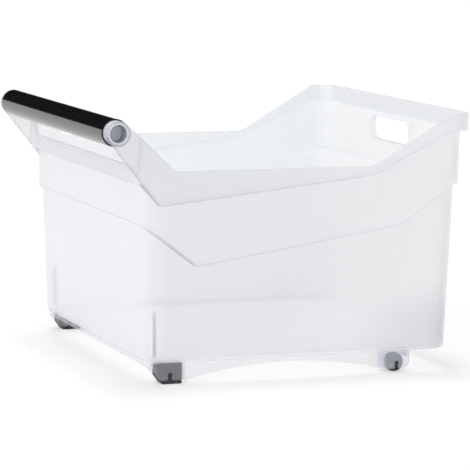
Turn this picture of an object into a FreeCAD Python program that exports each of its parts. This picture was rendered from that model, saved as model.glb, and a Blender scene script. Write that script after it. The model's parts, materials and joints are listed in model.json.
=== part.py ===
import FreeCAD, Part
import os
from math import asin, atan2, cos, degrees, radians, sin, sqrt, tan

# Roll-out ingredient bin: a translucent open tub with a black grip tube between two
# forward arms, two glide feet under the front and two rollers under the rear.
# Millimetres. X runs across the bin, -Y is the handle end, +Z is up.
# The origin is on the ground, midway between the sides and between handle and rear rim.

# Overall sizes
width = 398.0
depth = 395.5
rim_height = 265.8
handle_reach = 37.25
wall = 2.4
floor_thickness = 2.6
floor_height = 22.3
corner_radius = 22.0
front_edge_radius = 2.4
front_inner_radius = 3.0

# Steps in the wall: the rim band is widest, then the middle band, then the lower tub
side_step = 3.1
front_step = 2.85
rim_overhang = 10.0
rear_step = 4.7
lower_draft = 0.032
middle_draft = 0.016

# Heights below the rim top, or below the low edge of the sides
side_drop = 50.8
front_rise = 3.3
front_band = 16.9
rear_band = 18.0
band_valley_drop = 34.6
band_slope_drop = 9.4
waist_front_drop = 56.4
waist_valley_drop = 96.6
waist_slope_drop = 61.2
waist_rear_drop = 72.8

# Distances behind the front wall and ahead of the rear rim
arm_root_back = 36.0
band_valley_back = 19.0
waist_valley_back = 59.7
slope_foot_ahead = 110.75
slope_top_ahead = 25.25
waist_foot_ahead = 76.75
waist_top_ahead = 23.0

# Roundings of the side outline
root_rounding = 14.0
slope_rounding = 18.0
valley_rounding = 10.0
line_rounding = 12.0
ledge_rounding = 5.0

# Roundings of the moulding's edges
step_rounding = 1.4
inner_step_rounding = 1.0
step_root_rounding = 1.2
base_rounding = 3.5
inner_base_rounding = 3.0
rim_rounding = 0.6

# Handle
hub_radius = 12.5
hub_drop = 12.3
grip_radius = 14.0
grip_rounding = 0.5
plug_radius = 10.6
plug_wall = 1.7
plug_rounding = 0.5
plug_length = 20.0
boss_length = 11.0
ear_width = 5.0
ear_rounding = 17.0
running_fit = 0.05
press_fit = 0.03
end_gap = 0.3

# Hand slot in the rear wall
slot_width = 106.0
slot_height = 25.5
slot_rounding = 10.0
slot_top_gap = 3.8
collar_wall = 2.0
collar_reach = 4.5

# Upright ribs inside the front corners, turned in plan from X towards the handle
rib_wall = 1.8
rib_reach = 6.0
rib_rise = 47.0
rib_turn = radians(40.0)
rib_rounding = 1.5

# Housings, feet and rollers under the floor
cheek_wall = 2.4
cheek_inset = 1.1
cheek_clear = 4.0
skirt_clear = 15.0
front_skirt_inset = 6.9
side_arch_rise = 13.5
foot_back = 25.3
foot_length = 26.0
foot_width = 15.0
foot_top_gap = 0.4
foot_chamfer_height = 8.5
foot_chamfer_length = 5.5
foot_rounding = 1.5
foot_wall_gap = 1.6
roller_ahead = 58.6
roller_radius = 9.6
roller_width = 9.0
roller_rounding = 1.2
roller_front_gap = 1.0
roller_rear_gap = 2.0
pin_radius = 2.3
side_play = 0.3
throat_pinch = 0.3
throat_drop = 2.0
mouth_flare = 0.8
housing_corner = 8.0

# Places worked out from the sizes above
half_width = width / 2
rear_y = depth / 2
front_y = handle_reach - depth / 2
hub_y = grip_radius - depth / 2
hub_z = rim_height - hub_drop
side_top = rim_height - side_drop
front_top = side_top + front_rise
band_front_z = front_top - front_band
band_rear_z = rim_height - rear_band
waist_front_z = front_top - waist_front_drop
waist_rear_z = rim_height - waist_rear_drop
slope_foot_y = rear_y - slope_foot_ahead
slope_top_y = rear_y - slope_top_ahead
floor_drop = waist_front_z - floor_height
base_half_width = half_width - 2 * side_step - lower_draft * floor_drop
base_front_y = front_y + 2 * front_step + lower_draft * floor_drop
base_rear_y = rear_y - rim_overhang - rear_step - lower_draft * floor_drop
cheek_outer_x = base_half_width - cheek_inset
housing_x = cheek_outer_x - cheek_wall - side_play - foot_width / 2
housing_width = foot_width + 2 * side_play
foot_y = base_front_y + foot_back
foot_top_z = floor_height - foot_top_gap
roller_y = base_rear_y - roller_ahead
skirt_front_y = base_front_y + front_skirt_inset
foot_wall_y = foot_y + foot_length / 2 + foot_wall_gap
roller_wall_y = roller_y - roller_radius - roller_front_gap
rear_wall_y = roller_y + roller_radius + roller_rear_gap
boss_end_x = half_width - boss_length
grip_half_length = boss_end_x - end_gap
root_z = floor_height + floor_thickness / 2
beyond = width + depth

# How near a point counts as on a line, in mm, and what bend counts as a crease, in radians
touch_tolerance = 0.001
crease_angle = 0.2


def in_plan(u, v, w=0.0):
    return FreeCAD.Vector(u, v, w)


def in_side(u, v, w=0.0):
    return FreeCAD.Vector(w, u, v)


def in_front(u, v, w=0.0):
    return FreeCAD.Vector(u, w, v)


def rounded_wire(corners, place, level=0.0):
    """Closed wire through corners (u, v, radius), each rounded by an arc."""
    points = [FreeCAD.Vector(u, v, 0) for u, v, _ in corners]
    arrive, middle, leave = [], [], []
    for i, (_, _, radius) in enumerate(corners):
        here = points[i]
        back = (points[i - 1] - here).normalize()
        ahead = (points[(i + 1) % len(points)] - here).normalize()
        half_turn = back.getAngle(ahead) / 2
        bisector = (back + ahead).normalize()
        reach = radius / tan(half_turn)
        arrive.append(here + back * reach)
        leave.append(here + ahead * reach)
        middle.append(here + bisector * (radius / sin(half_turn) - radius))
    edges = []
    for i, (_, _, radius) in enumerate(corners):
        following = arrive[(i + 1) % len(points)]
        ends = [place(p.x, p.y, level) for p in (arrive[i], middle[i], leave[i], following)]
        if radius > 0:
            edges.append(Part.Arc(*ends[:3]).toShape())
        edges.append(Part.LineSegment(ends[2], ends[3]).toShape())
    return Part.Wire(edges)


def slab(corners, place, start, end):
    """Rounded outline extruded square to its plane from start to end."""
    face = Part.Face(rounded_wire(corners, place, start))
    return face.extrude(place(0, 0, end - start))


def cylinder_x(radius, start, end, y, z):
    return Part.makeCylinder(radius, end - start, in_side(y, z, start), in_side(0, 0, 1))


def box(x0, x1, y0, y1, z0, z1):
    return Part.makeBox(x1 - x0, y1 - y0, z1 - z0, in_plan(x0, y0, z0))


def fused(shapes):
    return shapes[0].fuse(shapes[1:]).removeSplitter()


def on_outline(corners, place):
    """Test for points that lie on the outline when seen square to its plane."""
    wire = rounded_wire(corners, place)

    def test(point):
        flat = place(point.y, point.z) if place is in_side else place(point.x, point.z)
        return wire.distToShape(Part.Vertex(flat))[0] < touch_tolerance
    return test


def at_height(z):
    return lambda point: abs(point.z - z) < touch_tolerance


def eased(shape, radius, chosen):
    """Shape with its chosen creases rounded."""
    creases = []
    for edge in shape.Edges:
        first, last = edge.ParameterRange
        points = [edge.valueAt(first + (last - first) * part) for part in (0, 0.5, 1)]
        if all(chosen(point) for point in points):
            normals = [face.normalAt(*face.Surface.parameter(points[1]))
                       for face in shape.ancestorsOfType(edge, Part.Face)]
            if normals[0].getAngle(normals[-1]) > crease_angle:
                creases.append(edge)
    return shape.makeFillet(radius, creases)


def mirrored(shape):
    return shape.mirror(FreeCAD.Vector(0, 0, 0), in_side(0, 0, 1))


def export(shape, node):
    shape.Solids[0].exportStep("parts/" + node + ".step")


def plan_block(half, front, rear, front_corner, rear_corner, draft, bottom):
    """Upright block to above the rim, whose sides lean out by draft above the waist."""
    wires = []
    for z in (bottom, rim_height + wall):
        lean = draft * (z - waist_front_z)
        x, y0, y1 = half + lean, front - lean, rear + lean
        corners = [(-x, y0, front_corner), (x, y0, front_corner),
                   (x, y1, rear_corner), (-x, y1, rear_corner)]
        wires.append(rounded_wire(corners, in_plan, z))
    return Part.makeLoft(wires, True, True)


def tangent_from(y, z, side):
    """Point where the line from (y, z) touches the hub circle, on the given side."""
    dy, dz = hub_y - y, hub_z - z
    reach = sqrt(dy * dy + dz * dz)
    angle = atan2(dz, dy) - side * asin(hub_radius / reach)
    length = sqrt(reach * reach - hub_radius * hub_radius)
    return y + length * cos(angle), z + length * sin(angle)


def band_line(lift):
    """Lower edge of the rim band, raised by lift, from front to rear."""
    valley_y, valley_z = front_y + band_valley_back, side_top - band_valley_drop
    touch_y, touch_z = tangent_from(valley_y, valley_z, -1)
    run = (band_front_z - valley_z) * (touch_y - valley_y) / (touch_z - valley_z)
    return [
        (-beyond, band_front_z + lift, 0),
        (valley_y + run, band_front_z + lift, ledge_rounding),
        (valley_y, valley_z + lift, valley_rounding),
        (slope_foot_y, side_top - band_slope_drop + lift, slope_rounding),
        (slope_top_y, band_rear_z + lift, line_rounding),
        (beyond, band_rear_z + lift, 0),
    ]


def waist_line(lift):
    """Lower edge of the middle band, raised by lift, from front to rear."""
    return [
        (-beyond, waist_front_z + lift, 0),
        (front_y + front_step, waist_front_z + lift, ledge_rounding),
        (front_y + waist_valley_back, side_top - waist_valley_drop + lift, valley_rounding),
        (rear_y - waist_foot_ahead, side_top - waist_slope_drop + lift, slope_rounding),
        (rear_y - waist_top_ahead, waist_rear_z + lift, line_rounding),
        (beyond, waist_rear_z + lift, 0),
    ]


def over(line):
    """Outline of all that lies over the line in side view."""
    return line + [(beyond, 2 * beyond, 0), (-beyond, 2 * beyond, 0)]


def above(line):
    return slab(over(line), in_side, -beyond, beyond)


def below(line):
    return slab(line + [(beyond, -beyond, 0), (-beyond, -beyond, 0)], in_side, -beyond, beyond)


def tub_block(skin, bottom, band_corner, base_radius, step_radius):
    """Stepped outside of the tub, shrunk by skin on every side for its inside."""
    overlap = wall / 2
    corner = corner_radius - skin
    middle_rear = rear_y - rim_overhang - skin
    waist, rim_band = waist_line(skin), band_line(skin)
    on_waist, on_band = (on_outline(over(line), in_side) for line in (waist, rim_band))

    lower = plan_block(half_width - 2 * side_step - skin, front_y + 2 * front_step + skin,
                       middle_rear - rear_step, corner, corner, lower_draft, bottom)
    lower = eased(lower, base_radius, at_height(bottom)).common(below(waist_line(skin + overlap)))
    middle = plan_block(half_width - side_step - skin, front_y + front_step + skin,
                        middle_rear, corner, corner, middle_draft, bottom)
    middle = eased(middle.common(above(waist)), step_radius, on_waist)
    middle = middle.common(below(band_line(skin + overlap)))
    band = plan_block(half_width - skin, front_y + skin, rear_y - skin, band_corner, corner,
                      0, bottom)
    band = eased(band.common(above(rim_band)), step_radius, on_band)

    block = fused([lower, middle, band])
    block = eased(block, step_root_rounding, on_band)
    return eased(block, step_root_rounding, on_waist)


def side_waste_outline():
    """What is cut from above along the sides, seen from the side."""
    root_y = front_y + arm_root_back
    touch_y, touch_z = tangent_from(root_y, side_top, 1)
    return [
        (touch_y, touch_z, 0),
        (root_y, side_top, root_rounding),
        (slope_foot_y, side_top, slope_rounding),
        (slope_top_y, rim_height, line_rounding),
        (beyond, rim_height, 0),
        (beyond, beyond, 0),
        (touch_y, beyond, 0),
    ]


def front_waste_outline():
    """What is cut from above between the ears, seen from the front."""
    ear_x = half_width - wall - ear_width
    return [(-ear_x, front_top, ear_rounding), (ear_x, front_top, ear_rounding),
            (ear_x, beyond, 0), (-ear_x, beyond, 0)]


def open_top(shell):
    """Shell with its top cut open along the sides and between the ears, rims rounded."""
    side, front = side_waste_outline(), front_waste_outline()
    front_end = front_y + 2 * wall
    shell = shell.cut(slab(side, in_side, -beyond, beyond))
    shell = shell.cut(slab(front, in_front, front_y - wall, front_end))
    on_side, on_front = on_outline(side, in_side), on_outline(front, in_front)
    return eased(shell, rim_rounding,
                 lambda point: on_side(point) or (point.y < front_end and on_front(point)))


def arm():
    """Right arm plate with its boss, up to the hub circle."""
    root_y, valley_y = front_y + arm_root_back, front_y + band_valley_back
    valley_z = side_top - band_valley_drop
    high_y, high_z = tangent_from(root_y, side_top, 1)
    low_y, low_z = tangent_from(valley_y, valley_z, -1)
    outline = [(high_y, high_z, 0), (hub_y, hub_z, 0), (low_y, low_z, 0),
               (valley_y, valley_z, valley_rounding), (root_y, valley_z + wall, 0),
               (root_y, side_top, root_rounding)]
    plate = slab(outline, in_side, half_width - wall, half_width)
    plate = eased(plate, rim_rounding, on_outline(outline, in_side))
    boss = cylinder_x(hub_radius, boss_end_x, half_width, hub_y, hub_z)
    boss = eased(boss, rim_rounding, lambda point: point.x > half_width - touch_tolerance)
    hole = cylinder_x(plug_radius + press_fit, boss_end_x - wall, half_width + wall, hub_y, hub_z)
    return plate.fuse(boss).cut(hole)


def slot_outline(grow):
    """Hand slot outline in the rear wall, grown by grow all round."""
    x = slot_width / 2 + grow
    z1 = band_rear_z - slot_top_gap + grow
    z0 = band_rear_z - slot_top_gap - slot_height - grow
    radius = slot_rounding + grow
    return [(-x, z0, radius), (x, z0, radius), (x, z1, radius), (-x, z1, radius)]


def pin_slot(y, z, start, end):
    """Arch slot that a stub pin snaps into from below."""
    half = pin_radius + running_fit
    throat = half - throat_pinch
    mouth = half + mouth_flare
    throat_z = z - throat_drop
    bottom = cheek_clear - wall
    outline = [(y - half, z, 0), (y - half, throat_z + throat_pinch, 0), (y - throat, throat_z, 0),
               (y - throat, throat_z - throat_pinch, 0), (y - mouth, bottom, 0),
               (y + mouth, bottom, 0), (y + throat, throat_z - throat_pinch, 0),
               (y + throat, throat_z, 0), (y + half, throat_z + throat_pinch, 0), (y + half, z, 0)]
    return slab(outline, in_side, start, end).fuse(cylinder_x(half, start, end, y, z))


def foot_cheek_outline():
    """Cheek beside a foot: its front follows the chamfer of the foot."""
    chamfer_y = foot_y - foot_length / 2 + foot_chamfer_length
    return [(skirt_front_y, root_z, 0), (skirt_front_y, skirt_clear, 0),
            (chamfer_y - cheek_wall, cheek_clear, 0), (foot_wall_y + cheek_wall, cheek_clear, 0),
            (foot_wall_y + cheek_wall, root_z, 0)]


def roller_cheek_outline():
    """Cheek beside a roller, rounded at its rear lower corner."""
    return [(roller_wall_y - cheek_wall, root_z, 0),
            (roller_wall_y - cheek_wall, cheek_clear, 0),
            (rear_wall_y + cheek_wall, cheek_clear, housing_corner),
            (rear_wall_y + cheek_wall, root_z, 0)]


def side_skirt():
    """Plate under the side wall between the housings, with an arched lower edge."""
    y0, y1 = foot_wall_y + cheek_wall, roller_wall_y - cheek_wall
    half_span = (y1 - y0) / 2
    arch = (half_span * half_span + side_arch_rise * side_arch_rise) / (2 * side_arch_rise)
    inner = cheek_outer_x - cheek_wall
    plate = box(inner, cheek_outer_x, y0 - cheek_wall, y1 + cheek_wall, cheek_clear, root_z)
    cut = cylinder_x(arch, inner - wall, cheek_outer_x + wall, (y0 + y1) / 2,
                     cheek_clear + side_arch_rise - arch)
    return plate.cut(cut)


def right_housings():
    """Cheeks, end walls and side skirt under the right side of the floor."""
    outer = cheek_outer_x
    gap_outer, gap_inner = outer - cheek_wall, outer - cheek_wall - housing_width
    inner = gap_inner - cheek_wall
    pieces = [side_skirt()]
    for start, end in ((gap_outer, outer), (inner, gap_inner)):
        pieces.append(slab(foot_cheek_outline(), in_side, start, end))
        pieces.append(slab(roller_cheek_outline(), in_side, start, end))
    pieces.append(box(inner, outer, foot_wall_y, foot_wall_y + cheek_wall, cheek_clear, root_z))
    pieces.append(box(inner, outer, roller_wall_y - cheek_wall, roller_wall_y, cheek_clear, root_z))
    pieces.append(box(inner, outer, rear_wall_y, rear_wall_y + cheek_wall, skirt_clear, root_z))
    body = fused(pieces)
    for y in (foot_y, roller_y):
        body = body.cut(pin_slot(y, roller_radius, inner - wall, outer + wall))
    return body


def cross_skirts():
    """Front and rear skirts that join the housings of both sides."""
    x = cheek_outer_x
    inner_x = x - 2 * cheek_wall - housing_width
    front = box(-x, x, skirt_front_y, skirt_front_y + cheek_wall, skirt_clear, root_z)
    rear = box(-inner_x, inner_x, rear_wall_y, rear_wall_y + cheek_wall, skirt_clear, root_z)
    return [front, rear]


def corner_rib():
    """Rib in the right front corner, whose root follows the leaning wall."""
    low, high = root_z, floor_height + floor_thickness + rib_rise
    root = corner_radius - wall / 2
    lean = lower_draft * (cos(rib_turn) + sin(rib_turn)) * (high - low)
    inner = root - wall / 2 - rib_reach
    outline = [(inner, low, 0), (root, low, 0), (root + lean, high, 0),
               (inner + lean, high, rib_rounding)]
    rib = slab(outline, in_front, -rib_wall / 2, rib_wall / 2)
    rib.rotate(in_plan(0, 0), in_plan(0, 0, 1), -degrees(rib_turn))
    rib.translate(in_plan(base_half_width - corner_radius, base_front_y + corner_radius))
    return rib


def tub_shell():
    outside = tub_block(0, floor_height, front_edge_radius, base_rounding, step_rounding)
    inside = tub_block(wall, floor_height + floor_thickness, front_inner_radius,
                       inner_base_rounding, inner_step_rounding)
    shell = open_top(outside.cut(inside))
    wall_y = rear_y - rim_overhang
    collar = slab(slot_outline(collar_wall), in_front, wall_y - wall, wall_y + collar_reach)
    slot = slab(slot_outline(0), in_front, wall_y - 2 * corner_radius, wall_y + 2 * collar_reach)
    right = arm().fuse([right_housings(), corner_rib()])
    shell = fused([shell, right, mirrored(right), collar] + cross_skirts())
    return shell.cut(slot)


def grip_tube():
    tube = cylinder_x(grip_radius, -grip_half_length, grip_half_length, hub_y, hub_z)
    tube = eased(tube, grip_rounding, lambda point: True)
    bore = cylinder_x(plug_radius + running_fit, -half_width, half_width, hub_y, hub_z)
    return tube.cut(bore)


def grip_plug():
    body = cylinder_x(plug_radius, half_width - plug_length, half_width, hub_y, hub_z)
    cup = cylinder_x(plug_radius - plug_wall, half_width - plug_length + plug_wall,
                     half_width + plug_wall, hub_y, hub_z)
    return eased(body.cut(cup), plug_rounding, lambda point: point.x > half_width - touch_tolerance)


def stub_pin(y):
    """Pin across both cheeks, flush with their outer faces."""
    start = cheek_outer_x - 2 * cheek_wall - housing_width
    return cylinder_x(pin_radius, start, cheek_outer_x, y, roller_radius)


def rear_roller():
    start, end = housing_x - roller_width / 2, housing_x + roller_width / 2
    wheel = cylinder_x(roller_radius, start, end, roller_y, roller_radius)
    return eased(wheel, roller_rounding, lambda point: True).fuse(stub_pin(roller_y))


def front_foot():
    y0, y1 = foot_y - foot_length / 2, foot_y + foot_length / 2
    outline = [(y0, foot_top_z, foot_rounding), (y0, foot_chamfer_height, foot_rounding),
               (y0 + foot_chamfer_length, 0, foot_rounding), (y1, 0, foot_rounding),
               (y1, foot_top_z, foot_rounding)]
    block = slab(outline, in_side, housing_x - foot_width / 2, housing_x + foot_width / 2)
    return block.fuse(stub_pin(foot_y))


os.makedirs("parts", exist_ok=True)
export(tub_shell(), "tub_shell")
export(grip_tube(), "grip_tube")
for name, make in (("grip_plug", grip_plug), ("rear_roller", rear_roller), ("front_foot", front_foot)):
    export(make(), name + "_right")
    export(mirrored(make()), name + "_left")
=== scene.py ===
import json
import math

import bpy
import bmesh
from mathutils import Matrix, Vector


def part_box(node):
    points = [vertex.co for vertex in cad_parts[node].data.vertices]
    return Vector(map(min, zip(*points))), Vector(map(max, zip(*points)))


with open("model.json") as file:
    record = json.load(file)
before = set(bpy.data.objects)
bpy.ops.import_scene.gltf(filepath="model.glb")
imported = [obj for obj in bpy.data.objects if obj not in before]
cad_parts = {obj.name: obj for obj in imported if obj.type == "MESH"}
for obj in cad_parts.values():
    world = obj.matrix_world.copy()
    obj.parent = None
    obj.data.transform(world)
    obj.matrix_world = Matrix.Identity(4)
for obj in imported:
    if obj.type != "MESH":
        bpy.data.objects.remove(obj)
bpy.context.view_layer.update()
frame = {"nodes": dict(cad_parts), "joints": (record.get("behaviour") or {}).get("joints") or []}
nodes = frame["nodes"]
tubLow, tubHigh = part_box("tub_shell")
gripAxis = next(joint["pos_m"] for joint in frame["joints"] if joint["name"] == "grip_turn")
print("frame loaded:", ", ".join(sorted(nodes)))

scene = bpy.context.scene
scene.view_settings.view_transform = "Standard"
scene.cycles.transparent_max_bounces = 48  # a look through the tub crosses many thin walls


# camera at the photograph's angle
shot = {
    "azimuth": 19.725,     # degrees from +X towards -Y
    "elevation": 7.387,
    "roll": 0.542,
    "distance": 3.0534,
    "aim": (-0.0051, 0.0112, 0.1218),
    "lens": 218.06,
    "sensor": 36.0,
    "farClip": 50.0,
}


def addCamera():
    azimuth = math.radians(shot["azimuth"])
    elevation = math.radians(shot["elevation"])
    roll = math.radians(shot["roll"])
    back = Vector((math.cos(elevation) * math.cos(azimuth),
                   -math.cos(elevation) * math.sin(azimuth), math.sin(elevation)))
    level = Vector((math.sin(azimuth), math.cos(azimuth), 0.0))
    rise = back.cross(level)
    right = level * math.cos(roll) + rise * math.sin(roll)
    up = rise * math.cos(roll) - level * math.sin(roll)
    data = bpy.data.cameras.new("camera")
    data.sensor_width = shot["sensor"]
    data.lens = shot["lens"]
    data.clip_end = shot["farClip"]
    camera = bpy.data.objects.new("camera", data)
    scene.collection.objects.link(camera)
    turn = Matrix((right, up, back)).transposed().to_4x4()
    camera.matrix_world = Matrix.Translation(Vector(shot["aim"]) + back * shot["distance"]) @ turn
    scene.camera = camera


addCamera()
print("camera placed")


# a node with its settings, and each input given as a number, a colour or another node's output
def addNode(tree, kind, inputs=None, **settings):
    node = tree.nodes.new("ShaderNode" + kind)
    for name, value in settings.items():
        setattr(node, name, value)
    for name, value in (inputs or {}).items():
        giveInput(tree, node.inputs[name], value)
    return node


def giveInput(tree, socket, value):
    if isinstance(value, bpy.types.NodeSocket):
        tree.links.new(value, socket)
    else:
        socket.default_value = value


def calculate(tree, operation, first, second=0.5):
    return addNode(tree, "Math", {0: first, 1: second}, operation=operation).outputs["Value"]


def invert(tree, value):
    return calculate(tree, "SUBTRACT", 1.0, value)


def multiply(tree, *values):
    result = values[0]
    for value in values[1:]:
        result = calculate(tree, "MULTIPLY", result, value)
    return result


def highest(tree, *values):
    result = values[0]
    for value in values[1:]:
        result = calculate(tree, "MAXIMUM", result, value)
    return result


# 1 where all the pairs hold: the first is greater than the second
def allGreater(tree, *pairs):
    return multiply(tree, *(calculate(tree, "GREATER_THAN", value, limit) for value, limit in pairs))


def remap(tree, value, fromMin, fromMax, toMin=0.0, toMax=1.0, curve="LINEAR"):
    inputs = {"Value": value, "From Min": fromMin, "From Max": fromMax,
              "To Min": toMin, "To Max": toMax}
    return addNode(tree, "MapRange", inputs, interpolation_type=curve).outputs["Result"]


# 0 to 1 over a range, with soft ends
def ease(tree, value, span):
    return remap(tree, value, *span, curve="SMOOTHSTEP")


def mixValues(tree, factor, first, second):
    return addNode(tree, "Mix", {0: factor, 2: first, 3: second}).outputs[0]


def blendColors(tree, factor, first, second, way="MIX"):
    inputs = {0: factor, 6: first, 7: second}
    return addNode(tree, "Mix", inputs, data_type="RGBA", blend_type=way).outputs[2]


def shade(tree, factor, color, darker):
    return blendColors(tree, factor, color, darker, "MULTIPLY")


def vectorMath(tree, operation, first, second=(0.0, 0.0, 0.0), output="Vector"):
    return addNode(tree, "VectorMath", {0: first, 1: second}, operation=operation).outputs[output]


def axes(tree, vector):
    parts = addNode(tree, "SeparateXYZ", {"Vector": vector}).outputs
    return parts["X"], parts["Y"], parts["Z"]


# studio: a white surround for the eye, a dim room above the table for reflections
studio = {
    "skyColor": (0.91, 0.975, 1.0, 1.0),
    "skyStrength": 0.66,
    "white": (1.0, 1.0, 1.0, 1.0),
    "roomColor": (0.008, 0.008, 0.009, 1.0),
    "horizon": (0.045, 0.065),                # in reflections, where the white table gives way to the room
    "floorColor": (0.88, 0.84, 0.86, 1.0),
    "floorShown": (0.55, 0.535, 0.53, 1.0),   # for the eye, the rest of the white is glow
    "floorGlow": 0.413,
    "floorRoughness": 0.9,
    "floorSize": 60.0,
    "lamps": (
        # name, where the light comes from, colour, strength, softness in degrees
        ("topLamp", (-0.22, -0.04, 1.0), (1.0, 1.0, 1.0), 1.0, 16.0),
        ("handleLamp", (0.1, -1.0, 0.55), (1.0, 0.97, 1.0), 0.98, 60.0),
        ("sideLamp", (1.0, -0.15, 0.45), (1.0, 0.95, 0.97), 0.265, 60.0),
    ),
}


# the ray's kind, and 1 for rays that should meet the plain white surround
def seenStraight(tree):
    path = addNode(tree, "LightPath").outputs
    return path, highest(tree, path["Is Camera Ray"], path["Is Transmission Ray"])


def addWorld():
    world = bpy.data.worlds.new("studio")
    scene.world = world
    world.use_nodes = True
    tree = world.node_tree
    tree.nodes.clear()
    path, direct = seenStraight(tree)
    light = addNode(tree, "Background", {"Color": studio["skyColor"], "Strength": studio["skyStrength"]})
    white = addNode(tree, "Background", {"Color": studio["white"]})
    height = axes(tree, addNode(tree, "TexCoord").outputs["Generated"])[2]
    above = remap(tree, height, *studio["horizon"])
    roomColor = blendColors(tree, above, studio["white"], studio["roomColor"])
    room = addNode(tree, "Background", {"Color": roomColor})
    gloss = addNode(tree, "MixShader", {0: path["Is Glossy Ray"], 1: light.outputs[0], 2: room.outputs[0]})
    eye = addNode(tree, "MixShader", {0: direct, 1: gloss.outputs[0], 2: white.outputs[0]})
    addNode(tree, "OutputWorld", {"Surface": eye.outputs[0]})


def addFloor():
    material, tree, shader = newMaterial("paleFloor")
    shader["Roughness"].default_value = studio["floorRoughness"]
    shader["Specular IOR Level"].default_value = 0.0
    shader["Emission Color"].default_value = studio["white"]
    path, direct = seenStraight(tree)
    shown = highest(tree, direct, path["Is Glossy Ray"])
    tint = blendColors(tree, shown, studio["floorColor"], studio["floorShown"])
    giveInput(tree, shader["Base Color"], tint)
    giveInput(tree, shader["Emission Strength"], multiply(tree, shown, studio["floorGlow"]))
    bm = bmesh.new()
    bmesh.ops.create_grid(bm, x_segments=1, y_segments=1, size=studio["floorSize"] / 2)
    mesh = bpy.data.meshes.new("floor")
    bm.to_mesh(mesh)
    bm.free()
    mesh.materials.append(material)
    floor = bpy.data.objects.new("floor", mesh)
    scene.collection.objects.link(floor)


def addLamps():
    for name, source, color, strength, softness in studio["lamps"]:
        data = bpy.data.lights.new(name, "SUN")
        data.color = color
        data.energy = strength
        data.angle = math.radians(softness)
        lamp = bpy.data.objects.new(name, data)
        lamp.rotation_euler = Vector(source).to_track_quat("Z", "Y").to_euler()
        lamp.visible_glossy = False
        scene.collection.objects.link(lamp)


def newMaterial(name):
    material = bpy.data.materials.new(name)
    material.use_nodes = True
    tree = material.node_tree
    return material, tree, tree.nodes["Principled BSDF"].inputs


addWorld()
addFloor()
addLamps()
print("studio ready")


# shared effects, each a node group with its inputs as name, kind and value
def newGroup(name, inputs, outputs):
    group = bpy.data.node_groups.new(name, "ShaderNodeTree")
    for label, kind, value in inputs:
        socket = group.interface.new_socket(label, in_out="INPUT", socket_type="NodeSocket" + kind)
        socket.default_value = value
    for label, kind in outputs:
        group.interface.new_socket(label, in_out="OUTPUT", socket_type="NodeSocket" + kind)
    given = group.nodes.new("NodeGroupInput").outputs
    result = group.nodes.new("NodeGroupOutput").inputs
    place = addNode(group, "TexCoord").outputs["Object"]
    return group, given, result, place


def useGroup(tree, group, inputs):
    node = addNode(tree, "Group", node_tree=group)
    for name, value in inputs.items():
        giveInput(tree, node.inputs[name], value)
    return node.outputs


def noise(tree, place, scale, detail=2.0, roughness=0.5):
    inputs = {"Vector": place, "Scale": scale, "Detail": detail, "Roughness": roughness}
    return addNode(tree, "TexNoise", inputs).outputs["Fac"]


# a value less and more its spread, as the noise goes from low to high
def swing(tree, pattern, span, value, spread):
    low = calculate(tree, "SUBTRACT", value, spread)
    high = calculate(tree, "ADD", value, spread)
    return remap(tree, pattern, *span, low, high)


# slow drift of tone, as plastic has where the melt flowed
drift = {"detail": 3.0, "span": (0.3, 0.7)}


def castTintGroup():
    inputs = (("Color", "Color", (0.8, 0.8, 0.8, 1.0)), ("Scale", "Float", 9.0), ("Amount", "Float", 0.02))
    group, given, result, place = newGroup("castTint", inputs, (("Color", "Color"),))
    pattern = noise(group, place, given["Scale"], drift["detail"])
    tone = swing(group, pattern, drift["span"], 1.0, given["Amount"])
    gray = addNode(group, "CombineColor", {"Red": tone, "Green": tone, "Blue": tone}).outputs["Color"]
    group.links.new(shade(group, 1.0, given["Color"], gray), result["Color"])
    return group


# fine grain of a spark-eroded mould, and the roughness that varies over larger patches
grain = {"detail": 2.0, "roughness": 0.6, "relief": 0.0002,
         "patchScale": 60.0, "patchDetail": 3.0, "patchSpan": (0.3, 0.7)}


def mouldGrainGroup():
    inputs = (("Grain Scale", "Float", 900.0), ("Depth", "Float", 0.1),
              ("Roughness", "Float", 0.4), ("Spread", "Float", 0.05))
    group, given, result, place = newGroup("mouldGrain", inputs,
                                           (("Roughness", "Float"), ("Normal", "Vector")))
    pits = noise(group, place, given["Grain Scale"], grain["detail"], grain["roughness"])
    patches = noise(group, place, grain["patchScale"], grain["patchDetail"])
    rough = swing(group, patches, grain["patchSpan"], given["Roughness"], given["Spread"])
    group.links.new(rough, result["Roughness"])
    bump = addNode(group, "Bump", {"Strength": given["Depth"], "Distance": grain["relief"], "Height": pits})
    group.links.new(bump.outputs["Normal"], result["Normal"])
    return group


# hairline scuffs from handling, as a mask
scuff = {"turns": ((0.0, 0.0, 0.0), (0.7, 0.3, 1.1)), "stretch": (0.6, 14.0, 14.0),
         "detail": 2.0, "roughness": 0.4, "span": (0.66, 0.74),
         "patchScale": 14.0, "patchSpan": (0.45, 0.65)}


def hairlinesGroup():
    inputs = (("Scale", "Float", 40.0), ("Cover", "Float", 0.3))
    group, given, result, place = newGroup("hairlines", inputs, (("Mask", "Float"),))
    masks = []
    for turn in scuff["turns"]:
        laid = addNode(group, "Mapping", {"Vector": place, "Rotation": turn, "Scale": scuff["stretch"]})
        streak = noise(group, laid.outputs["Vector"], given["Scale"], scuff["detail"], scuff["roughness"])
        masks.append(remap(group, streak, *scuff["span"]))
    patches = remap(group, noise(group, place, scuff["patchScale"]), *scuff["patchSpan"])
    group.links.new(multiply(group, highest(group, *masks), patches, given["Cover"]), result["Mask"])
    return group


# rubbed edges, as a mask: where a rounded-off normal leaves the flat one
rub = {"samples": 4, "span": (0.98, 0.8),
       "breakScale": 220.0, "breakDetail": 4.0, "breakSpan": (0.35, 0.65)}


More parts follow.
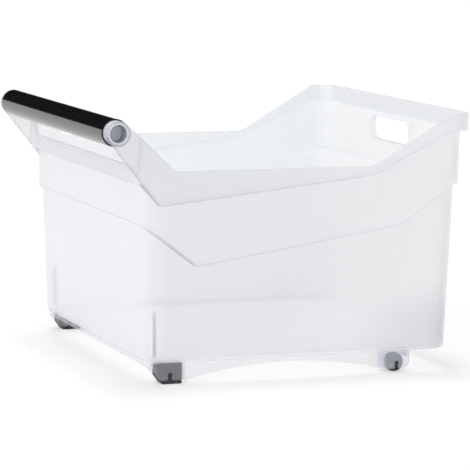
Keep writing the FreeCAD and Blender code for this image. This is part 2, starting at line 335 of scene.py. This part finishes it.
def rubbedEdgesGroup():
    inputs = (("Radius", "Float", 0.001), ("Amount", "Float", 0.5))
    group, given, result, place = newGroup("rubbedEdges", inputs, (("Mask", "Float"),))
    bevel = addNode(group, "Bevel", {"Radius": given["Radius"]}, samples=rub["samples"]).outputs["Normal"]
    flat = addNode(group, "NewGeometry").outputs["Normal"]
    edge = remap(group, vectorMath(group, "DOT_PRODUCT", bevel, flat, "Value"), *rub["span"])
    broken = remap(group, noise(group, place, rub["breakScale"], rub["breakDetail"]), *rub["breakSpan"])
    group.links.new(multiply(group, edge, broken, given["Amount"]), result["Mask"])
    return group


# dust that the low pieces pick up, as a mask
dust = {"scale": 380.0, "detail": 3.0, "span": (0.4, 0.7)}


def floorDustGroup():
    inputs = (("Top", "Float", 0.02), ("Amount", "Float", 0.3))
    group, given, result, place = newGroup("floorDust", inputs, (("Mask", "Float"),))
    low = remap(group, axes(group, place)[2], given["Top"], 0.0)
    specks = remap(group, noise(group, place, dust["scale"], dust["detail"]), *dust["span"])
    group.links.new(multiply(group, low, specks, given["Amount"]), result["Mask"])
    return group


castTint = castTintGroup()
mouldGrain = mouldGrainGroup()
hairlines = hairlinesGroup()
rubbedEdges = rubbedEdgesGroup()
floorDust = floorDustGroup()
print("shared effects ready")


# the clear moulding's tones, mostly painted light and shade, and its frost; places are in metres from the
# tub's own box
clearPlastic = {
    # painted light and shade on the walls seen from outside: the long ones go from front to rear, the short
    # ones have one tone
    "outerFrontPaintedLight": (0.83, 0.806, 0.816, 1.0),
    "outerRearPaintedLight": (0.89, 0.868, 0.868, 1.0),
    "outerEndPaintedLight": (0.866, 0.845, 0.856, 1.0),
    # the same painted light and shade, seen from inside
    "innerFrontPaintedLight": (1.0, 1.0, 1.0, 1.0),
    "innerRearPaintedLight": (0.79, 0.855, 0.885, 1.0),
    "innerEndPaintedLight": (0.885, 0.87, 0.865, 1.0),
    # below the walls: the floor plate's upper side in a painted lit tone, and the skirts and cheeks darker
    # as painted shade
    "floorTint": (0.865, 0.895, 0.905, 1.0),
    "skirtPaintedShade": (0.66, 0.675, 0.73, 1.0),
    "cheekPaintedShade": (0.80, 0.815, 0.87, 1.0),        # beside the rollers
    # painted shade: the rim band and the arms are a little darker
    "bandShade": (0.915, 0.92, 0.925, 1.0),
    "rearBandShade": (0.935, 0.95, 0.97, 1.0),
    # painted light and shade on the steps' upper sides
    "lowLedgePaintedLight": (0.90, 0.915, 0.93, 1.0),
    "highLedgePaintedLight": (0.78, 0.80, 0.82, 1.0),
    # painted shade on the steps' undersides: steep ones, level ones at the front and at the rear, then the
    # front wall's
    "steepUnderPaintedShade": (0.22, 0.22, 0.23, 1.0),
    "frontUnderPaintedShade": (0.42, 0.42, 0.44, 1.0),
    "rearUnderPaintedShade": (0.72, 0.73, 0.76, 1.0),
    "endUnderPaintedShade": (0.62, 0.62, 0.64, 1.0),
    "endWaistPaintedShade": (0.80, 0.80, 0.82, 1.0),
    "middle": (0.0, 0.02, 0.0),                   # a skin that faces this place is seen from inside
    "frontToRear": (tubLow.y + 0.04625, tubHigh.y - 0.00775),
    "bandSide": tubHigh.x - 0.001,
    "bandFront": tubLow.y + 0.03675,
    "bandRear": tubHigh.y - 0.00275,
    "wall": 0.0024,
    "endSide": tubHigh.x - 0.013,                 # the front wall's undersides end here
    "highLedge": tubHigh.z - 0.071,               # the upper step is above this, the lower one below
    "armsStart": tubLow.y + 0.03325,              # the arms are all that lies ahead of this
    "floorTop": 0.0275,                           # just over the floor plate
    "skirtTop": 0.0215,                           # just under it
    "cheek": (tubHigh.y - 0.10975, tubHigh.y - 0.09775),
    # how far a normal turns: to a long wall, to a level face, to the front in a steep underside
    "sideTurn": (0.35, 0.65),
    "levelTurn": (0.15, 0.85),
    "steepTurn": (0.3, 0.5),
    "driftScale": 7.0,
    "drift": 0.012,
    "roughness": 0.36,
    "roughnessSpread": 0.04,
    "grainScale": 1400.0,
    "grainDepth": 0.06,
    "scuffRoughness": 0.6,
    "scuffs": 0.25,
    "ior": 1.49,
    "gloss": 0.22,
    # how much a skin hides: face on, edge on, and in the floor plate
    "alphaFacing": 0.33,
    "alphaEdge": 0.74,
    "edgeBlend": 0.3,
    "floorAlpha": 0.75,
    "plateTurn": (0.6, 0.95),
    "skirtThinness": 0.50,                        # the skirts are clearer, and the cheeks milkier
    "cheekThinness": 0.85,
    # light spreads through the wall where the eye sees only haze, but not along the wall
    "shadowThinness": 0.07,
    "shadowAlong": 1.9,
    "shadowTurn": (0.4, 0.85),
    "floorShadow": 0.03,
    "skirtShadow": 3.0,
    "spreadThinness": 0.5,
}


# where a point lies, which way it faces, and from which side and on which skin it is seen
def readSurface(tree):
    look = clearPlastic
    coords = addNode(tree, "TexCoord").outputs
    place, normal = coords["Object"], coords["Normal"]
    across = axes(tree, vectorMath(tree, "ABSOLUTE", place))[0]
    along, height = axes(tree, place)[1:]
    faceX, faceY, faceZ = axes(tree, normal)
    flat = vectorMath(tree, "MULTIPLY", place, (1.0, 1.0, 0.0))
    away = vectorMath(tree, "SUBTRACT", flat, look["middle"])
    outward = vectorMath(tree, "DOT_PRODUCT", normal, away, "Value")
    inside = calculate(tree, "LESS_THAN", outward, 0.0)    # a normal is turned towards the eye
    turned = addNode(tree, "NewGeometry").outputs["Backfacing"]
    innerSkin = calculate(tree, "ABSOLUTE", calculate(tree, "SUBTRACT", inside, turned))
    return {
        "place": place, "across": across, "along": along, "height": height, "upright": faceZ,
        "inside": inside, "skin": multiply(tree, innerSkin, look["wall"]),
        "sideWall": ease(tree, calculate(tree, "ABSOLUTE", faceX), look["sideTurn"]),
        "steep": ease(tree, multiply(tree, faceY, -1.0), look["steepTurn"]),
        "rearward": remap(tree, along, *look["frontToRear"]),
        "top": ease(tree, faceZ, look["levelTurn"]),
    }


# painted shade: the ribs inside the front corners are painted dark, so they show as one dark upright line
cornerRib = {
    "center": (tubHigh.x - 0.0326, tubLow.y + 0.06795),   # middle of the right front corner's round
    "reach": (0.010, 0.0188),      # between these from it, and off the floor, is only the rib
    "top": 0.0735,
    "tint": (0.30, 0.30, 0.315, 1.0),
}


def ribShadeMask(tree, at):
    sideways = calculate(tree, "SUBTRACT", at["across"], cornerRib["center"][0])
    forward = calculate(tree, "SUBTRACT", cornerRib["center"][1], at["along"])
    apart = addNode(tree, "CombineXYZ", {"X": sideways, "Y": forward}).outputs["Vector"]
    length = vectorMath(tree, "LENGTH", apart, output="Value")
    root, reach = cornerRib["reach"]
    return allGreater(tree, (reach, length), (length, root), (sideways, 0.0), (forward, 0.0),
                      (at["height"], clearPlastic["floorTop"]), (cornerRib["top"], at["height"]))


# painted shade: the walls are darker at the low rear corner
lowCornerShade = {
    "center": (tubHigh.x - 0.009, tubHigh.y - 0.03275, 0.035),
    "shape": (1.0, 0.75, 1.35),
    "fade": (0.085, 0.02),
    "shade": (0.83, 0.83, 0.85, 1.0),
}


def lowCornerShadeMask(tree, at):
    away = vectorMath(tree, "SUBTRACT", at["place"], lowCornerShade["center"])
    shaped = vectorMath(tree, "MULTIPLY", away, lowCornerShade["shape"])
    near = ease(tree, vectorMath(tree, "LENGTH", shaped, output="Value"), lowCornerShade["fade"])
    return multiply(tree, near, invert(tree, at["top"]))


# the round bosses that hold the grip are thicker than the arms
boss = {
    "center": (0.0, gripAxis[1], gripAxis[2]),
    "reach": 0.0130,
    "start": tubHigh.x - 0.013,
    "alpha": 0.75,
    "shade": (0.80, 0.80, 0.815, 1.0),
}


def bossMask(tree, at):
    here = addNode(tree, "CombineXYZ", {"Y": at["along"], "Z": at["height"]}).outputs["Vector"]
    apart = vectorMath(tree, "DISTANCE", here, boss["center"], "Value")
    return allGreater(tree, (boss["reach"], apart), (at["across"], boss["start"]))


# painted shade: the front wall's ears beside the arms' roots are darker where they are seen from inside
earShade = {
    "along": (tubLow.y + 0.03325, tubLow.y + 0.04325),
    "start": tubHigh.x - 0.017,
    "bottom": tubHigh.z - 0.061,
    "shade": (0.74, 0.74, 0.77, 1.0),
}


def earShadeMask(tree, at):
    first, last = earShade["along"]
    inner = allGreater(tree, (last, at["along"]), (at["along"], first), (at["across"], earShade["start"]),
                       (at["height"], earShade["bottom"]))
    return multiply(tree, inner, at["inside"])


# painted shade: a darker line along the arms' lower edge, fading upwards
armEdgeShade = {
    "foot": (0.0, tubLow.y + 0.05475, tubHigh.z - 0.0856),   # a point of the edge, and the way up from it
    "across": (0.0, 0.7825, 0.6226),
    "depth": 0.0042,
    "start": tubHigh.x - 0.0035,
    "shade": (0.80, 0.79, 0.80, 1.0),
}


def armEdgeShadeMask(tree, at):
    away = vectorMath(tree, "SUBTRACT", at["place"], armEdgeShade["foot"])
    over = vectorMath(tree, "DOT_PRODUCT", away, armEdgeShade["across"], "Value")
    onArm = allGreater(tree, (at["across"], armEdgeShade["start"]), (at["height"], armEdgeShade["foot"][2]),
                       (over, -armEdgeShade["depth"]))
    return multiply(tree, ease(tree, over, (armEdgeShade["depth"], 0.0)), onArm)


# the hand slot's surround, whose undersides are left without the painted underside shade
slot = {
    "halfWidth": 0.066,
    "start": tubHigh.y - 0.03275,
    "bottom": tubHigh.z - 0.059,
    "top": tubHigh.z - 0.0198,
}


def slotMask(tree, at):
    return allGreater(tree, (slot["halfWidth"], at["across"]), (at["along"], slot["start"]),
                      (at["height"], slot["bottom"]), (slot["top"], at["height"]))


# the tub's sections, added to what readSurface gives
def addMasks(tree, at):
    look = clearPlastic
    height, along = at["height"], at["along"]
    at["overFloor"] = allGreater(tree, (height, look["floorTop"]))
    at["overSkirt"] = allGreater(tree, (height, look["skirtTop"]))
    at["inFloor"] = calculate(tree, "SUBTRACT", at["overSkirt"], at["overFloor"])
    at["onHighLedge"] = allGreater(tree, (height, look["highLedge"]))
    at["onEnd"] = allGreater(tree, (look["frontToRear"][0], along), (look["endSide"], at["across"]))
    at["cheek"] = remap(tree, along, *look["cheek"])
    # undersides, which take painted shade, except round the hand slot
    downward = ease(tree, multiply(tree, at["upright"], -1.0), look["levelTurn"])
    at["under"] = multiply(tree, downward, invert(tree, slotMask(tree, at)))
    at["rib"] = ribShadeMask(tree, at)
    at["boss"] = bossMask(tree, at)

    # both skins of a band belong to it
    side = allGreater(tree, (calculate(tree, "ADD", at["across"], at["skin"]), look["bandSide"]))
    front = allGreater(tree, (look["bandFront"], calculate(tree, "SUBTRACT", along, at["skin"])))
    at["rearBand"] = allGreater(tree, (calculate(tree, "ADD", along, at["skin"]), look["bandRear"]))
    band = highest(tree, side, at["rearBand"], front)
    # painted shade: the long bands deepen to the front outside and to the rear inside
    farther = calculate(tree, "SUBTRACT", invert(tree, at["inside"]), at["rearward"])
    depth = mixValues(tree, at["sideWall"], 1.0, calculate(tree, "ABSOLUTE", farther))
    arms = calculate(tree, "LESS_THAN", along, look["armsStart"])
    at["deepBand"] = highest(tree, arms, multiply(tree, band, depth))


# the clear moulding's colour, built from painted light and shade by side, facing and height
def clearPaintedShading(tree, at):
    look = clearPlastic
    # painted light and shade: each wall's tone by inside or outside, front or rear, long or short side
    outerSide = blendColors(tree, at["rearward"], look["outerFrontPaintedLight"], look["outerRearPaintedLight"])
    innerSide = blendColors(tree, at["rearward"], look["innerFrontPaintedLight"], look["innerRearPaintedLight"])
    outer = blendColors(tree, at["sideWall"], look["outerEndPaintedLight"], outerSide)
    inner = blendColors(tree, at["sideWall"], look["innerEndPaintedLight"], innerSide)
    tint = blendColors(tree, at["inside"], outer, inner)
    # painted shade on the rim band and arms, and on the rear band
    tint = shade(tree, at["deepBand"], tint, look["bandShade"])
    tint = shade(tree, at["rearBand"], tint, look["rearBandShade"])
    # painted shade along the arms' lower edge
    tint = shade(tree, armEdgeShadeMask(tree, at), tint, armEdgeShade["shade"])
    tint = shade(tree, at["boss"], tint, boss["shade"])
    # painted shade on the ears
    tint = shade(tree, earShadeMask(tree, at), tint, earShade["shade"])

    # painted light and shade on the upper sides of the steps and of the floor plate
    ledgePaintedLight = blendColors(tree, at["onHighLedge"], look["lowLedgePaintedLight"], look["highLedgePaintedLight"])
    ledgePaintedLight = blendColors(tree, at["inFloor"], ledgePaintedLight, look["floorTint"])
    tint = blendColors(tree, at["top"], tint, ledgePaintedLight)
    # painted shade on the undersides
    under = blendColors(tree, at["rearward"], look["frontUnderPaintedShade"], look["rearUnderPaintedShade"])
    under = blendColors(tree, at["steep"], under, look["steepUnderPaintedShade"])
    shadedEndUnder = blendColors(tree, at["onHighLedge"], look["endWaistPaintedShade"], look["endUnderPaintedShade"])
    under = blendColors(tree, at["onEnd"], under, shadedEndUnder)
    tint = blendColors(tree, multiply(tree, at["under"], at["overFloor"]), tint, under)

    # painted shade on the corner ribs
    tint = blendColors(tree, at["rib"], tint, cornerRib["tint"])
    # painted shade: the skirts and cheeks below the floor plate are darker
    skirt = blendColors(tree, at["cheek"], look["skirtPaintedShade"], look["cheekPaintedShade"])
    tint = blendColors(tree, at["overSkirt"], skirt, tint)
    # painted shade at the low rear corner
    return shade(tree, lowCornerShadeMask(tree, at), tint, lowCornerShade["shade"])


def clearAlpha(tree, at):
    look = clearPlastic
    edge = addNode(tree, "LayerWeight", {"Blend": look["edgeBlend"]}).outputs["Facing"]
    haze = remap(tree, edge, 0.0, 1.0, look["alphaFacing"], look["alphaEdge"])
    haze = highest(tree, haze,
                   multiply(tree, at["rib"], look["alphaEdge"]),
                   multiply(tree, at["under"], look["alphaEdge"]),
                   multiply(tree, at["boss"], boss["alpha"]))
    thinBelow = mixValues(tree, at["cheek"], look["skirtThinness"], look["cheekThinness"])
    haze = multiply(tree, haze, mixValues(tree, at["overSkirt"], thinBelow, 1.0))
    level = ease(tree, calculate(tree, "ABSOLUTE", at["upright"]), look["plateTurn"])
    alpha = mixValues(tree, multiply(tree, at["inFloor"], level), haze, look["floorAlpha"])

    path = addNode(tree, "LightPath").outputs
    spread = mixValues(tree, path["Is Diffuse Ray"], 1.0, look["spreadThinness"])
    shadow = remap(tree, edge, *look["shadowTurn"], look["shadowThinness"], look["shadowAlong"])
    shadow = multiply(tree, shadow, mixValues(tree, at["overSkirt"], look["skirtShadow"], 1.0))
    shadow = mixValues(tree, at["inFloor"], shadow, look["floorShadow"])
    return multiply(tree, alpha, mixValues(tree, path["Is Shadow Ray"], spread, shadow))


def clearPlasticMaterial():
    material, tree, shader = newMaterial("clearPlastic")
    look = clearPlastic
    at = readSurface(tree)
    addMasks(tree, at)
    cast = useGroup(tree, castTint, {"Color": clearPaintedShading(tree, at), "Scale": look["driftScale"],
                                     "Amount": look["drift"]})
    giveInput(tree, shader["Base Color"], cast["Color"])
    giveInput(tree, shader["Alpha"], clearAlpha(tree, at))
    mould = useGroup(tree, mouldGrain, {"Grain Scale": look["grainScale"], "Depth": look["grainDepth"],
                                        "Roughness": look["roughness"], "Spread": look["roughnessSpread"]})
    scuffs = useGroup(tree, hairlines, {"Cover": look["scuffs"]})["Mask"]
    rough = mixValues(tree, scuffs, mould["Roughness"], look["scuffRoughness"])
    giveInput(tree, shader["Roughness"], rough)
    giveInput(tree, shader["Normal"], mould["Normal"])
    shader["IOR"].default_value = look["ior"]
    shader["Specular IOR Level"].default_value = look["gloss"]
    return material


# clear end plugs: the cup's floor is milky; its thin side shows the black tube and is also painted darker
# as shade inside the bore
plugPlastic = {
    "floorTint": (0.95, 0.97, 1.0, 1.0),
    "boreSidePaintedShade": (0.58, 0.62, 0.70, 1.0),
    "floorTurn": (0.5, 0.9),
    "driftScale": 60.0,
    "drift": 0.02,
    "roughness": 0.28,
    "grainScale": 1800.0,
    "grainDepth": 0.05,
    "floorAlpha": 0.82,
    "sideAlpha": 0.30,
    "edgeAlpha": 0.7,
    "edgeBlend": 0.3,
    "ior": 1.49,
}


def plugMaterial():
    material, tree, shader = newMaterial("plugPlastic")
    look = plugPlastic
    faceX = axes(tree, addNode(tree, "TexCoord").outputs["Normal"])[0]
    onFloor = ease(tree, calculate(tree, "ABSOLUTE", faceX), look["floorTurn"])
    # painted shade on the cup's side inside the bore
    tint = blendColors(tree, onFloor, look["boreSidePaintedShade"], look["floorTint"])
    cast = useGroup(tree, castTint, {"Color": tint, "Scale": look["driftScale"], "Amount": look["drift"]})
    giveInput(tree, shader["Base Color"], cast["Color"])
    mould = useGroup(tree, mouldGrain, {"Grain Scale": look["grainScale"], "Depth": look["grainDepth"],
                                        "Roughness": look["roughness"]})
    giveInput(tree, shader["Roughness"], mould["Roughness"])
    giveInput(tree, shader["Normal"], mould["Normal"])
    shader["IOR"].default_value = look["ior"]
    edge = addNode(tree, "LayerWeight", {"Blend": look["edgeBlend"]}).outputs["Facing"]
    haze = remap(tree, edge, 0.0, 1.0, look["sideAlpha"], look["edgeAlpha"])
    giveInput(tree, shader["Alpha"], mixValues(tree, onFloor, haze, look["floorAlpha"]))
    return material


# black pieces: the tube is polished, the rollers and feet are moulded
blackFinishes = {
    "gripBlack": {
        "tint": (0.007, 0.007, 0.0075, 1.0),
        "gloss": 0.66, "roughness": 0.11, "spread": 0.02, "grainScale": 500.0, "grainDepth": 0.015,
        "scuffs": 0.35, "scuffRoughness": 0.32, "rub": 0.15, "rubRadius": 0.0008,
        "dust": 0.0,
    },
    "rollerBlack": {
        "tint": (0.014, 0.014, 0.015, 1.0),
        "gloss": 0.5, "roughness": 0.42, "spread": 0.07, "grainScale": 1100.0, "grainDepth": 0.14,
        "scuffs": 0.5, "scuffRoughness": 0.6, "rub": 0.5, "rubRadius": 0.0012,
        "dust": 0.35,
    },
    "footBlack": {
        "tint": (0.012, 0.012, 0.013, 1.0),
        "gloss": 0.5, "roughness": 0.46, "spread": 0.06, "grainScale": 1300.0, "grainDepth": 0.14,
        "scuffs": 0.4, "scuffRoughness": 0.6, "rub": 0.6, "rubRadius": 0.0010,
        "dust": 0.3,
    },
}
blackWear = {
    "driftScale": 80.0,
    "drift": 0.12,
    "scuffScale": 60.0,
    "rubTint": (0.07, 0.07, 0.072, 1.0),
    "dustTint": (0.30, 0.29, 0.27, 1.0),
}


def blackMaterial(name):
    look = blackFinishes[name]
    material, tree, shader = newMaterial(name)
    cast = useGroup(tree, castTint, {"Color": look["tint"], "Scale": blackWear["driftScale"],
                                     "Amount": blackWear["drift"]})
    rubMask = useGroup(tree, rubbedEdges, {"Radius": look["rubRadius"], "Amount": look["rub"]})["Mask"]
    dustMask = useGroup(tree, floorDust, {"Amount": look["dust"]})["Mask"]
    scuffMask = useGroup(tree, hairlines, {"Scale": blackWear["scuffScale"],
                                           "Cover": look["scuffs"]})["Mask"]
    rubbed = blendColors(tree, rubMask, cast["Color"], blackWear["rubTint"])
    giveInput(tree, shader["Base Color"], blendColors(tree, dustMask, rubbed, blackWear["dustTint"]))
    mould = useGroup(tree, mouldGrain, {"Grain Scale": look["grainScale"], "Depth": look["grainDepth"],
                                        "Roughness": look["roughness"], "Spread": look["spread"]})
    worn = highest(tree, scuffMask, rubMask, dustMask)
    rough = mixValues(tree, worn, mould["Roughness"], look["scuffRoughness"])
    giveInput(tree, shader["Roughness"], rough)
    giveInput(tree, shader["Normal"], mould["Normal"])
    shader["Specular IOR Level"].default_value = look["gloss"]
    return material


def dress(names, material):
    for name in names:
        mesh = nodes[name].data
        mesh.materials.clear()
        mesh.materials.append(material)


dress(["tub_shell"], clearPlasticMaterial())
dress(["grip_plug_right", "grip_plug_left"], plugMaterial())
dress(["grip_tube"], blackMaterial("gripBlack"))
dress(["rear_roller_right", "rear_roller_left"], blackMaterial("rollerBlack"))
dress(["front_foot_right", "front_foot_left"], blackMaterial("footBlack"))
print("materials on")
